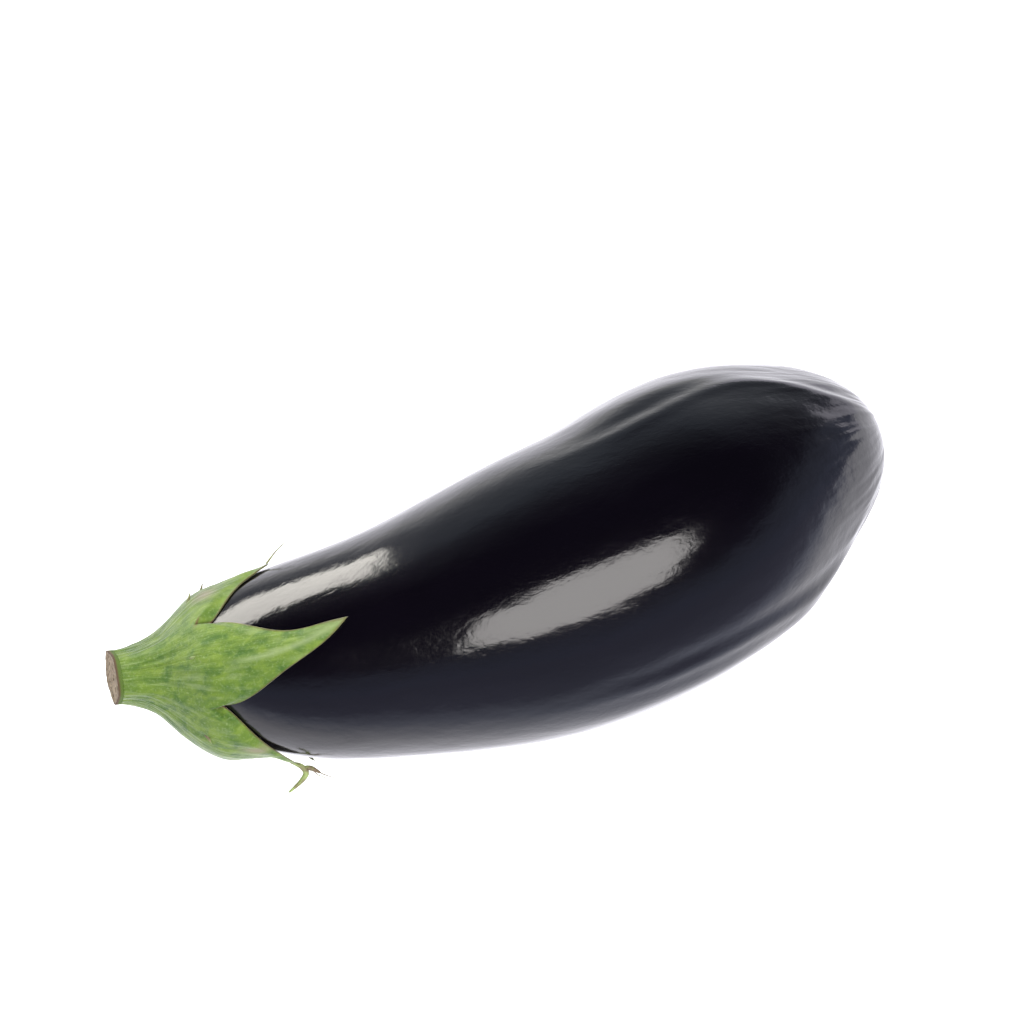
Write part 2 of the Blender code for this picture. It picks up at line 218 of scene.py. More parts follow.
class NodeTree:
    """A short way to build a material's or the world's nodes."""

    def __init__(self, owner: bpy.types.Material | bpy.types.World) -> None:
        """Args: owner: What the nodes belong to."""
        owner.use_nodes = True
        self.tree = owner.node_tree
        self.tree.nodes.clear()

    def add(self, kind: str, inputs: dict | None = None, **settings: object) -> bpy.types.Node:
        """A node, with its settings and its inputs.

        Args:
            kind: The node's type, without the ShaderNode in front.
            inputs: Values or sockets for the inputs, by name or number.
            settings: Attributes of the node.

        Returns:
            The new node.
        """
        node = self.tree.nodes.new("ShaderNode" + kind)
        for name, value in settings.items():
            setattr(node, name, value)
        for name, value in (inputs or {}).items():
            if isinstance(value, bpy.types.NodeSocket):
                self.tree.links.new(value, node.inputs[name])
            elif isinstance(value, tuple) and len(value) == 3 and node.inputs[name].type == "RGBA":
                node.inputs[name].default_value = (*value, 1.0)
            else:
                node.inputs[name].default_value = value
        return node

    def attribute(self, name: str) -> bpy.types.Node:
        """The node that reads one of the mesh's attributes."""
        return self.add("Attribute", attribute_name=name)

    def spots(
        self, where: bpy.types.NodeSocket, stretch: Sequence[float], detail: float = 3.0, warp: float = 0.0
    ) -> bpy.types.NodeSocket:
        """Noise, 0 to 1, whose lumps have a size in millimetres along each axis.

        Args:
            where: The coordinates, in metres.
            stretch: The lumps' size along x, y and z, in millimetres.
            detail: How much finer noise is in it.
            warp: How far the noise is twisted by itself.

        Returns:
            The noise's socket.
        """
        scale = tuple(1.0 / (size * MM) for size in stretch)
        mapping = self.add("Mapping", {"Vector": where, "Scale": scale})
        inputs = {"Vector": mapping.outputs[0], "Scale": 1.0, "Detail": detail, "Distortion": warp}
        return self.add("TexNoise", inputs).outputs[0]

    def ramp(self, value: bpy.types.NodeSocket, *stops: tuple[float, Colour | float]) -> bpy.types.NodeSocket:
        """Colours or greys between places on a scale from 0 to 1."""
        node = self.add("ValToRGB", {0: value})
        elements = node.color_ramp.elements
        while len(elements) < len(stops):
            elements.new(0.5)
        for element, (place, colour) in zip(elements, stops):
            element.position = place
            element.color = (*(colour if isinstance(colour, tuple) else (colour,) * 3), 1.0)
        return node.outputs[0]

    def mix(
        self,
        share: bpy.types.NodeSocket,
        low: Colour | bpy.types.NodeSocket,
        high: Colour | bpy.types.NodeSocket,
    ) -> bpy.types.NodeSocket:
        """The colour between low and high."""
        node = self.add("Mix", {0: share}, data_type="RGBA")
        for socket, colour in ((node.inputs[6], low), (node.inputs[7], high)):
            if isinstance(colour, tuple):
                socket.default_value = (*colour, 1.0)
            else:
                self.tree.links.new(colour, socket)
        return node.outputs[2]

    def sum(self, operation: str, *values: float | bpy.types.NodeSocket) -> bpy.types.NodeSocket:
        """One step of arithmetic, such as ADD or MULTIPLY."""
        return self.add("Math", dict(enumerate(values)), operation=operation).outputs[0]

    def bump(
        self, height: bpy.types.NodeSocket, depth: float, under: bpy.types.NodeSocket | None = None
    ) -> bpy.types.NodeSocket:
        """The normal of a relief whose height from 0 to 1 is depth millimetres."""
        inputs = {"Height": height, "Strength": 1.0, "Distance": depth * MM}
        if under:
            inputs["Normal"] = under
        return self.add("Bump", inputs).outputs[0]


@dataclass(frozen=True)
class Finish:
    """A surface's finish, whose nodes each kind paints for itself."""

    name: str

    def make(self) -> bpy.types.Material:
        """The finish as a new material."""
        material = bpy.data.materials.new(self.name)
        nodes = NodeTree(material)
        shader = nodes.add("BsdfPrincipled")
        nodes.add("OutputMaterial", {0: shader.outputs[0]})
        self.paint(nodes, shader)
        return material

    def paint(self, nodes: NodeTree, shader: bpy.types.Node) -> None:
        """Sets the shader's inputs.

        Args:
            nodes: The material's nodes.
            shader: Its Principled BSDF.
        """
        raise NotImplementedError


@dataclass(frozen=True)
class PurpleSkin(Finish):
    """The fruit's waxy skin: near-black purple, glossy, finely wrinkled."""

    name: str = "purple skin"
    deep: Colour = (0.0010, 0.0008, 0.0018)
    bright: Colour = (0.0026, 0.0017, 0.0042)
    scar: Colour = (0.16, 0.10, 0.05)
    gloss: float = 0.10
    gloss_spread: float = 0.06
    scar_roughness: float = 0.8
    wrinkle: float = 0.06
    pore: float = 0.008

    def paint(self, nodes: NodeTree, shader: bpy.types.Node) -> None:
        """Sets the shader's inputs."""
        where = nodes.add("TexCoord").outputs["Object"]
        cloudy = nodes.spots(where, (40.0, 18.0, 18.0))
        purple = nodes.mix(cloudy, self.deep, self.bright)
        scar = nodes.attribute("scar").outputs["Fac"]
        nodes.tree.links.new(nodes.mix(scar, purple, self.scar), shader.inputs["Base Color"])
        fine = nodes.spots(where, (3.0, 1.5, 1.5), 4.0, 0.6)
        pores = nodes.spots(where, (0.5, 0.4, 0.4), 2.0)
        relief = nodes.bump(pores, self.pore, nodes.bump(fine, self.wrinkle))
        nodes.tree.links.new(relief, shader.inputs["Normal"])
        matt = nodes.sum("ADD", self.gloss, nodes.sum("MULTIPLY", fine, self.gloss_spread))
        matt = nodes.sum("MAXIMUM", matt, nodes.sum("MULTIPLY", scar, self.scar_roughness))
        nodes.tree.links.new(matt, shader.inputs["Roughness"])
        shader.inputs["IOR"].default_value = 1.5


@dataclass(frozen=True)
class CalyxGreen(Finish):
    """The calyx's skin: mottled yellow green, pale in streaks along its veins, with a painted highlight along
    each sepal's midrib, brown at its edges and notches.
    """

    name: str = "calyx green"
    green: Colour = (0.040, 0.100, 0.006)
    yellow: Colour = (0.130, 0.205, 0.016)
    # The pale of the speckles and streaks, also used for the painted highlight along each sepal's midrib.
    pale: Colour = (0.27, 0.34, 0.15)
    brown: Colour = (0.09, 0.04, 0.018)
    patch: Colour = (0.22, 0.20, 0.12)

    def paint(self, nodes: NodeTree, shader: bpy.types.Node) -> None:
        """Sets the shader's inputs."""
        where = nodes.add("TexCoord").outputs["Object"]
        fibre = nodes.attribute("fibre").outputs["Vector"]
        mottle = nodes.ramp(nodes.spots(where, (5.0, 3.0, 3.0), 5.0, 0.4), (0.34, 0.0), (0.66, 1.0))
        colour = nodes.mix(mottle, self.green, self.yellow)
        speckle = nodes.ramp(nodes.spots(where, (0.7, 0.7, 0.7), 3.0), (0.52, 0.0), (0.74, 0.3))
        colour = nodes.mix(speckle, colour, self.pale)
        streaks = nodes.ramp(nodes.spots(fibre, (9.0, 1.6, 1.6), 4.0), (0.52, 0.0), (0.8, 0.45))
        colour = nodes.mix(streaks, colour, self.pale)
        # Painted highlight: the pale attribute lightens each sepal's midrib towards the pale colour.
        colour = nodes.mix(nodes.attribute("pale").outputs["Fac"], colour, self.pale)
        colour = nodes.mix(nodes.attribute("patch").outputs["Fac"], colour, self.patch)
        colour = nodes.mix(nodes.attribute("brown").outputs["Fac"], colour, self.brown)
        nodes.tree.links.new(colour, shader.inputs["Base Color"])
        fibres = nodes.spots(fibre, (3.0, 0.5, 0.5), 3.0)
        fuzz = nodes.spots(where, (0.35, 0.35, 0.35), 2.0)
        relief = nodes.bump(fuzz, 0.06, nodes.bump(fibres, 0.16))
        nodes.tree.links.new(relief, shader.inputs["Normal"])
        shader.inputs["Roughness"].default_value = 0.6
        shader.inputs["Sheen Weight"].default_value = 0.3
        shader.inputs["Sheen Roughness"].default_value = 0.35
        shader.inputs["Subsurface Weight"].default_value = 0.15
        shader.inputs["Subsurface Radius"].default_value = (0.6, 1.0, 0.3)
        shader.inputs["Subsurface Scale"].default_value = 0.001


@dataclass(frozen=True)
class DryCork(Finish):
    """The stem's dried cut: tan pith with dark pits and a brown rim."""

    name: str = "dry cork"
    pith: Colour = (0.17, 0.125, 0.075)
    straw: Colour = (0.34, 0.27, 0.18)
    pit: Colour = (0.035, 0.022, 0.014)
    rim: Colour = (0.085, 0.05, 0.027)
    green: Colour = (0.07, 0.12, 0.015)

    def paint(self, nodes: NodeTree, shader: bpy.types.Node) -> None:
        """Sets the shader's inputs."""
        where = nodes.add("TexCoord").outputs["Object"]
        grain = nodes.spots(where, (1.2, 1.2, 1.2), 4.0)
        colour = nodes.mix(nodes.ramp(grain, (0.35, 0.0), (0.65, 1.0)), self.pith, self.straw)
        colour = nodes.mix(nodes.attribute("rim").outputs["Fac"], colour, self.rim)
        colour = nodes.mix(nodes.attribute("pit").outputs["Fac"], colour, self.pit)
        colour = nodes.mix(nodes.attribute("fresh").outputs["Fac"], colour, self.green)
        nodes.tree.links.new(colour, shader.inputs["Base Color"])
        relief = nodes.bump(nodes.spots(where, (0.4, 0.4, 0.4), 3.0), 0.15)
        nodes.tree.links.new(relief, shader.inputs["Normal"])
        shader.inputs["Roughness"].default_value = 0.85


@dataclass(frozen=True)
class DryFibre(Finish):
    """A dry thread or tip: pale at one end and browned in places."""

    name: str = "dry fibre"
    fresh: Colour = (0.28, 0.36, 0.12)
    browned: Colour = (0.14, 0.10, 0.06)
    size: float = 2.5

    def paint(self, nodes: NodeTree, shader: bpy.types.Node) -> None:
        """Sets the shader's inputs."""
        where = nodes.add("TexCoord").outputs["Object"]
        along = nodes.ramp(nodes.spots(where, (self.size,) * 3, 3.0), (0.35, 0.0), (0.65, 1.0))
        nodes.tree.links.new(nodes.mix(along, self.fresh, self.browned), shader.inputs["Base Color"])
        relief = nodes.bump(nodes.spots(where, (0.3, 0.3, 0.3), 2.0), 0.05)
        nodes.tree.links.new(relief, shader.inputs["Normal"])
        shader.inputs["Roughness"].default_value = 0.6


def finish_piece(
    name: str, bm: bmesh.types.BMesh, material: bpy.types.Material
) -> bpy.types.Object:
    """The bmesh as a smooth object of the eggplant's.

    Args:
        name: The piece's name.
        bm: Its shape, in metres, which is freed.
        material: Its finish.

    Returns:
        The new object.
    """
    bmesh.ops.recalc_face_normals(bm, faces=bm.faces)
    mesh = bpy.data.meshes.new(name)
    bm.to_mesh(mesh)
    bm.free()
    mesh.shade_smooth()
    mesh.materials.append(material)
    piece = bpy.data.objects.new(name, mesh)
    bpy.context.scene.collection.objects.link(piece)
    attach(piece, BODY)
    log.info("%s: %d triangles", name, sum(len(face.vertices) - 2 for face in mesh.polygons))
    return piece


def sphere_grid(columns: int, rings: int) -> tuple[bmesh.types.BMesh, np.ndarray, np.ndarray]:
    """A unit sphere, and where each of its vertices is.

    Args:
        columns: Vertices round it.
        rings: Steps from its first pole to its last.

    Returns:
        The bmesh, each vertex's angle round it in degrees, and its share of the way down.
    """
    bm = bmesh.new()
    bmesh.ops.create_uvsphere(bm, u_segments=columns, v_segments=rings, radius=1)
    at = np.array([vertex.co for vertex in bm.verts])
    return bm, np.degrees(np.arctan2(at[:, 1], at[:, 0])), np.arccos(np.clip(at[:, 2], -1, 1)) / np.pi


def move_to(bm: bmesh.types.BMesh, points: np.ndarray) -> None:
    """Moves each vertex to its point, given in millimetres."""
    for vertex, point in zip(bm.verts, points * MM):
        vertex.co = point
    bm.normal_update()


def write_attribute(piece: bpy.types.Object, name: str, values: np.ndarray) -> None:
    """Gives each vertex a number, or a vector, that a material reads.

    Args:
        piece: The mesh object.
        name: The attribute's name.
        values: One number or one row of three for each vertex.
    """
    kind, field = ("FLOAT_VECTOR", "vector") if values.ndim == 2 else ("FLOAT", "value")
    attribute = piece.data.attributes.new(name, kind, "POINT")
    attribute.data.foreach_set(field, values.astype(np.float32).ravel())


@dataclass
class Fruit:
    """The body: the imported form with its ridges, groove, dents and wrinkles."""

    form: FruitForm
    columns: int = 312
    rings: int = 306
    ridges: tuple[tuple[Points, float], ...] = (
        (((0, 131), (33, 118), (60, 104), (78, 84)), 1.0),
        (((-30, -24), (0, -15), (30, -15), (55, -9), (80, 4)), 0.9),
        (((-10, 182), (40, 172), (80, 160)), 0.8),
        (((0, 232), (40, 226), (80, 222)), 0.8),
    )
    ridge_half_width: float = 9.0
    ridge_fade_in: float = 45.0
    swells: tuple[tuple[float, float, float, float, float], ...] = (
        (52.0, 17.0, 131.0, 14.0, 1.0),
        (77.0, 12.0, 112.0, 16.0, -1.4),
        (93.0, 12.0, 48.0, 34.0, 1.0),
        (79.0, 16.0, -10.0, 22.0, -1.5),
        (48.0, 12.0, -15.0, 10.0, 0.7),
    )
    crests: tuple[Points, ...] = (
        ((-14, 110.3), (16.6, 104.5), (37.6, 102.4), (60.7, 99.8), (84.7, 78)),
        ((-30, -4), (-14.3, -2.7), (17.3, -2.3), (40.8, -5), (80, -10)),
    )
    crest_height: float = 0.45
    crest_half_width: float = 3.5
    groove_share: float = 0.7
    groove_turn: float = 7.0
    groove_half_width: float = 4.0
    scar_depth: float = 1.2
    scar_radius: float = 4.0
    dent_depth: float = 0.16
    dent_size: tuple[float, float, float] = (34.0, 20.0, 20.0)
    wrinkle_depth: float = 0.03
    wrinkle_size: tuple[float, float, float] = (9.0, 3.5, 3.5)
    fold_depth: float = 0.28
    fold_size: tuple[float, float, float] = (34.0, 4.5, 4.5)
    fold_radius: float = 40.0
    fold_span: tuple[float, float] = (45.0, 85.0)
    calm_radius: float = 20.0

    def ridge(self, station: np.ndarray, turn: np.ndarray) -> np.ndarray:
        """How far the soft ridges and swells raise the skin."""
        raised = np.zeros_like(station)
        for line, ridge_height in self.ridges:
            start = line[0][0]
            away = turned_from(turn, smooth_curve(line)(np.minimum(station, self.form.blossom)))
            fade = smooth_step(station, start, start + self.ridge_fade_in)
            raised += ridge_height * fade * bell(away, self.ridge_half_width)
        for middle, half_length, swell_turn, half_width, swell_height in self.swells:
            away = turned_from(turn, swell_turn)
            raised += swell_height * bell(station - middle, half_length) * bell(away, half_width)
        for line in self.crests:
            start = line[0][0]
            away = turned_from(turn, smooth_curve(line)(np.clip(station, start, self.form.blossom)))
            fade = smooth_step(station, start, start + self.ridge_fade_in)
            groove = self.groove_share * bell(away - self.groove_turn, self.groove_half_width)
            raised += self.crest_height * fade * (bell(away, self.crest_half_width) - groove)
        return raised * self.form.blossom_cap(station)

    def build(self) -> bpy.types.Object:
        """The body's mesh, with where its blossom scar is.

        Returns:
            The object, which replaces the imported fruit.
        """
        bm, turn, down = sphere_grid(self.columns, self.rings)
        form = self.form
        station = form.stem_top + (form.blossom - form.stem_top) * (1 - np.cos(np.pi * down)) / 2
        plain = form.girth(station)
        base = form.place(station, turn, plain)
        dents = self.dent_depth * rough(base, self.dent_size, DENT_SEED)
        wrinkles = self.wrinkle_depth * rough(base, self.wrinkle_size, WRINKLE_SEED)
        even = form.place(station, turn, self.fold_radius)
        folds = self.fold_depth * rough(even, self.fold_size, FOLD_SEED) * smooth_step(station, *self.fold_span)
        fine = (dents + wrinkles + folds) * np.minimum(plain / self.calm_radius, 1.0)
        radius = plain + self.ridge(station, turn) + fine
        at_end = station > 0
        scar = np.where(at_end, bell(radius, self.scar_radius), 0.0)
        points = form.place(station, turn, radius, -self.scar_depth * scar)
        points[:, 2] = np.maximum(points[:, 2], 0.0)
        move_to(bm, points)
        piece = finish_piece("fruit_skin", bm, PurpleSkin().make())
        write_attribute(piece, "scar", smooth_step(scar, 0.55, 0.8))
        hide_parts("fruit")
        return piece


@dataclass(frozen=True)
class Sepal:
    """One of the calyx's points: its length past the notches, its tip's turn, and its height off the skin."""

    length: float
    tip_turn: float
    tip_lift: float


@dataclass
class Calyx:
    """The green cap and the stem that it grows out of."""

    form: FruitForm
    columns_per_sepal: int = 56
    rings: int = 260
    face_rings: int = 4
    rim_ring: int = 200
    edge_share: float = 0.995
    hollow_power: float = 1.5
    start: float = -132.0
    stem_line: Points = (
        (-134, 7.3), (-125, 8.4), (-119, 11.2), (-113, 16.5),
        (-107.5, 20.8), (-101.6, 23.0), (-96, 24.6), (-88, 25.5),
    )
    stem_line_end: float = -88.0
    pouch_line: Points = (
        (-134, 0), (-126, 1.1), (-122, 2.9), (-118, 5.2), (-114, 5.7),
        (-108, 4.8), (-102, 3.8), (-96, 2.2), (-88, 0),
    )
    pouch_turn: float = -40.0
    pouch_half_width: float = 42.0
    lean_up: float = 0.132
    lean_out: float = 0.065
    lean_end: float = -122.0
    corner_share: float = 0.05
    corner_end: float = -112.0
    corner_fade: float = 8.0
    rib_height: float = 0.5
    rib_end: float = -104.0
    rib_rise: float = 6.0
    rib_power: int = 6
    join_softness: float = 0.4
    collar_margin: float = 2.0
    notch: float = -105.2
    notch_turn: float = 16.0
    sepals: tuple[Sepal, ...] = (
        Sepal(36.2, 16.0, 0.4),
        Sepal(17.7, 10.0, 0.6),
        Sepal(35.2, 6.0, 0.8),
        Sepal(25.2, 27.0, 4.0),
        Sepal(21.6, -19.0, 2.5),
    )
    sepal_outline: Points = ((0, 1), (0.13, 0.85), (0.3, 0.6), (0.5, 0.34), (0.7, 0.2), (0.86, 0.115), (1, 0))
    clearance: float = 0.08
    blade_at_notch: float = 1.3
    blade_at_tip: float = 0.85
    blade_at_edge: float = 0.5
    edge_roll: float = 5.0
    midrib_height: float = 0.6
    midrib_half_width: float = 0.12
    table_gap: float = 0.1
    lump_height: float = 0.22
    vein_height: float = 0.2
    lump_size: tuple[float, float, float] = (8.0, 4.0, 4.0)
    vein_size: tuple[float, float, float] = (14.0, 1.6, 1.6)
    fibre_radius: float = 20.0
    scuffs: tuple[tuple[float, float, float, float], ...] = (
        (-105.4, 3.0, 118.0, 8.0), (-97.0, 4.0, -17.0, 3.0)
    )
    slit: tuple[float, float] = (-108.8, 89.0)
    slit_slope: float = 0.2
    slit_size: tuple[float, float] = (0.35, 4.0)

    def lean(self, station: np.ndarray, turn: np.ndarray, radius: np.ndarray) -> np.ndarray:
        """How far the stem is forward of square near its cut.

        Args:
            station: Where along the fruit.
            turn: The angle round it.
            radius: The distance from its middle.

        Returns:
            The distance along the stem at each place.
        """
        angle = np.radians(turn)
        slope = self.lean_out * np.cos(angle) + self.lean_up * np.sin(angle)
        return radius * slope * (1 - smooth_step(station, self.start, self.lean_end))

    def on_midline(self, side: Side, share: float, lift: float = 0.0) -> np.ndarray:
        """A point on a sepal's midline.

        Args:
            side: Which sepal.
            share: How far from the notches to its tip.
            lift: The distance over its surface.

        Returns:
            The point, in millimetres.
        """
        sepal = self.sepals[side.value]
        station = np.array([self.notch + sepal.length * share])
        turn = self.notch_turn + (side.value + 0.5) * 360 / len(self.sepals)
        past = np.array([share])
        radius = self.outside(station, np.array([turn]), np.array([0.0]), past, np.array([0.0]))
        radius += sepal.tip_lift * past**3 + lift
        return self.form.place(station, turn + sepal.tip_turn * past**2, radius)[0]

    def outside(
        self,
        station: np.ndarray,
        turn: np.ndarray,
        across: np.ndarray,
        past_notch: np.ndarray,
        to_edge: np.ndarray,
    ) -> np.ndarray:
        """The calyx's outer radius, of its stem or of a blade on the skin, whichever is higher.

        Args:
            station: Where along the fruit.
            turn: The angle round it.
            across: From -1 to 1 between the two notches of the sepal.
            past_notch: The share of the sepal's length, below 0 on the collar.
            to_edge: From 0 on the sepal's midline to 1 on its edge.

        Returns:
            The radius at each place.
        """
        corner_start = self.corner_end - self.corner_fade
        corners = self.corner_share * (1 - smooth_step(station, corner_start, self.corner_end))
        wave = np.cos(np.radians(len(self.sepals) * (turn - self.notch_turn)))
        held = np.minimum(station, self.stem_line_end)
        stem = smooth_curve(self.stem_line)(held) * (1 + corners * wave)
        pouch = bell(turned_from(turn, self.pouch_turn), self.pouch_half_width)
        stem += smooth_curve(self.pouch_line)(held) * pouch
        rib_fade = smooth_step(station, self.start, self.start + self.rib_rise)
        rib_fade *= 1 - smooth_step(station, self.corner_end, self.rib_end)
        stem += self.rib_height * rib_fade * ((1 + wave) / 2) ** self.rib_power
        share = np.clip(past_notch, 0.0, 1.0)
        blade = self.blade_at_notch + (self.blade_at_tip - self.blade_at_notch) * share
        thin = np.sqrt(np.clip(1 - to_edge**4, 0.0, 1.0)) + 1 - smooth_step(past_notch, -0.1, 0.1)
        blade = self.blade_at_edge + (blade - self.blade_at_edge) * np.minimum(thin, 1.0)
        midrib = self.midrib_height * bell(across, self.midrib_half_width) * smooth_step(past_notch, -0.2, 0.5)
        under = np.maximum(station, self.form.stem_top)
        midrib *= 1 - smooth_step(past_notch, 0.6, 1.0)
        over_skin = self.form.girth(under) + self.clearance + blade + midrib
        above = stem - over_skin
        joined = over_skin + 0.5 * (above + np.sqrt(above**2 + self.join_softness))
        return np.where(station < self.form.stem_top + self.collar_margin, stem, joined)

    def build(self) -> bpy.types.Object:
        """The calyx's mesh, ring by ring: the stem's end face, the outside, the sepals' edge, then the hollow.

        Returns:
            The object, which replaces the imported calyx.
        """
        bm, turn, down = sphere_grid(self.columns_per_sepal * len(self.sepals), self.rings)
        form = self.form
        ring = np.round(down * self.rings)
        angle = 360 / len(self.sepals)
        from_notch = turn % 360
        index = (from_notch // angle).astype(int) % len(self.sepals)
        even = (from_notch % angle) / (angle / 2) - 1
        across = np.copysign(smooth_curve(self.sepal_outline)(1 - np.abs(even)), even)
        turn = self.notch_turn + (index + 0.5 + across / 2) * angle
        length, tip_turn, tip_lift = (
            np.array([getattr(sepal, name) for sepal in self.sepals])[index]
            for name in ("length", "tip_turn", "tip_lift")
        )
        edge = self.notch + length * (1 - np.abs(even))
        outwards = np.clip((ring - self.face_rings) / (self.rim_ring - 1 - self.face_rings), 0, 1)
        out_share = np.where(ring == self.rim_ring, 1.0, self.edge_share * outwards)
        outer = self.start + out_share * (self.notch - self.start) + out_share**2 * (edge - self.notch)
        inwards = np.clip((self.rings - ring) / (self.rings - 1 - self.rim_ring), 0, 1)
        inner = form.stem_top + self.edge_share * inwards**self.hollow_power * (edge - form.stem_top)
        is_inner = ring > self.rim_ring
        station = np.where(is_inner, inner, outer)
        past_notch = (station - self.notch) / length
        past = np.maximum(past_notch, 0.0)
        turned = turn + tip_turn * past**2
        stand_off = tip_lift * past**3
        round_it = np.radians(turned)
        fibre = np.stack(
            [station, self.fibre_radius * np.cos(round_it), self.fibre_radius * np.sin(round_it)], axis=-1
        )
        lumps = self.lump_height * rough(fibre, self.lump_size, LUMP_SEED)
        veins = self.vein_height * rough(fibre, self.vein_size, VEIN_SEED)
        to_edge = np.clip(out_share, 0.0, 1.0) * (past_notch > 0)
        near_edge = 1 - smooth_step(out_share, 0.9, 0.99)
        radius = self.outside(station, turn, across, past_notch, to_edge)
        low = form.girth(np.maximum(station, form.stem_top)) + self.clearance + self.blade_at_edge
        drop = 1 - smooth_step(edge - station, 0.0, self.edge_roll)
        radius += (np.minimum(low, radius) - radius) * drop
        radius = radius + (lumps + veins) * np.where(ring < self.rim_ring, near_edge, 0.0)
        radius = np.where(ring == self.rim_ring, (radius + form.girth(station) + self.clearance) / 2, radius)
        radius = np.where(ring <= self.face_rings, radius * ring / self.face_rings, radius)
        outside = form.place(station, turned, radius + stand_off, self.lean(station, turn, radius))
        outside[:, 2] = np.maximum(outside[:, 2], self.table_gap)
        inside = form.skin(np.maximum(station, form.stem_top), turned, self.clearance + stand_off)
        points = np.where(is_inner[:, None], inside, outside)
        move_to(bm, points)
        piece = finish_piece("calyx", bm, CalyxGreen().make())
        self.mark(piece, fibre, turned, across, out_share, past_notch, station)
        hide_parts("calyx_and_stem")
        return piece

    def mark(
        self,
        piece: bpy.types.Object,
        fibre: np.ndarray,
        turn: np.ndarray,
        across: np.ndarray,
        out_share: np.ndarray,
        past_notch: np.ndarray,
        station: np.ndarray,
    ) -> None:
        """Writes where the calyx is patched and brown, and where a painted highlight lightens each sepal's
        midrib.

        Args:
            piece: The calyx.
            fibre: Each vertex's place along and round the calyx.
            turn: Its angle round the fruit.
            across: Its place between the sepal's notches.
            out_share: How far it is from the stem's end to the sepal's edge.
            past_notch: Its share of the sepal's length.
            station: Its place along the fruit.
        """
        # A painted highlight along each sepal's midrib, written as the pale attribute.
        painted_keel_highlight = bell(across, 0.045) * smooth_step(past_notch, 0.0, 0.3)
        edge_line = smooth_step(out_share, 0.975, 0.995)
        web = smooth_step(np.abs(across), 0.93, 1.0) * smooth_step(past_notch, -0.14, -0.02)
        scuffs = sum(
            bell(station - middle, half_length) * bell(turned_from(turn, middle_turn), half_turn)
            for middle, half_length, middle_turn, half_turn in self.scuffs
        )
        from_slit = turned_from(turn, self.slit[1])
        across_slit = station - self.slit[0] - self.slit_slope * from_slit
        slit = bell(across_slit, self.slit_size[0]) * bell(from_slit, self.slit_size[1])
        write_attribute(piece, "fibre", fibre * MM)
        write_attribute(piece, "pale", 0.6 * painted_keel_highlight)
        write_attribute(piece, "patch", np.clip(scuffs, 0, 1))
        write_attribute(piece, "brown", np.clip(0.6 * edge_line + 0.8 * web + slit, 0, 1))


@dataclass
class Prickles:
    """The calyx's small thorns, as one piece: the station, turn and length of each."""

    form: FruitForm
    calyx: Calyx
    places: tuple[tuple[float, float, float], ...] = (
        (-110.0, 128.0, 2.6), (-106.0, 150.0, 2.4), (-112.0, 60.0, 2.2),
        (-108.0, 205.0, 2.5), (-110.0, 268.0, 1.8), (-111.0, -12.0, 2.2),
    )
    thickness: float = 0.7
    tip_thickness: float = 0.08
    root: float = 1.0
    lean: float = 0.5
    sides: int = 12

    def build(self) -> bpy.types.Object:
        """Each thorn as a cone that leans forward, its root sunk in.

        Returns:
            The object.
        """
        bm = bmesh.new()
        for station, turn, length in self.places:
            under = np.array([station])
            zero = np.array([0.0])
            radius = self.calyx.outside(under, np.array([turn]), np.array([0.5]), zero, zero)
            foot = Vector(self.form.place(under, turn, radius - self.root)[0])
            tip = Vector(self.form.place(under + self.lean * length, turn, radius + length)[0])
            cone = bmesh.ops.create_cone(
                bm,
                cap_ends=True,
                segments=self.sides,
                radius1=self.thickness * MM,
                radius2=self.tip_thickness * MM,
                depth=(tip - foot).length * MM,
            )
            aim = (tip - foot).to_track_quat("Z", "Y").to_matrix()
            bmesh.ops.rotate(bm, verts=cone["verts"], matrix=aim)
            bmesh.ops.translate(bm, verts=cone["verts"], vec=(foot + tip) / 2 * MM)
        finish = DryFibre("prickle", fresh=(0.24, 0.30, 0.10))
        return finish_piece("calyx_prickles", bm, finish.make())


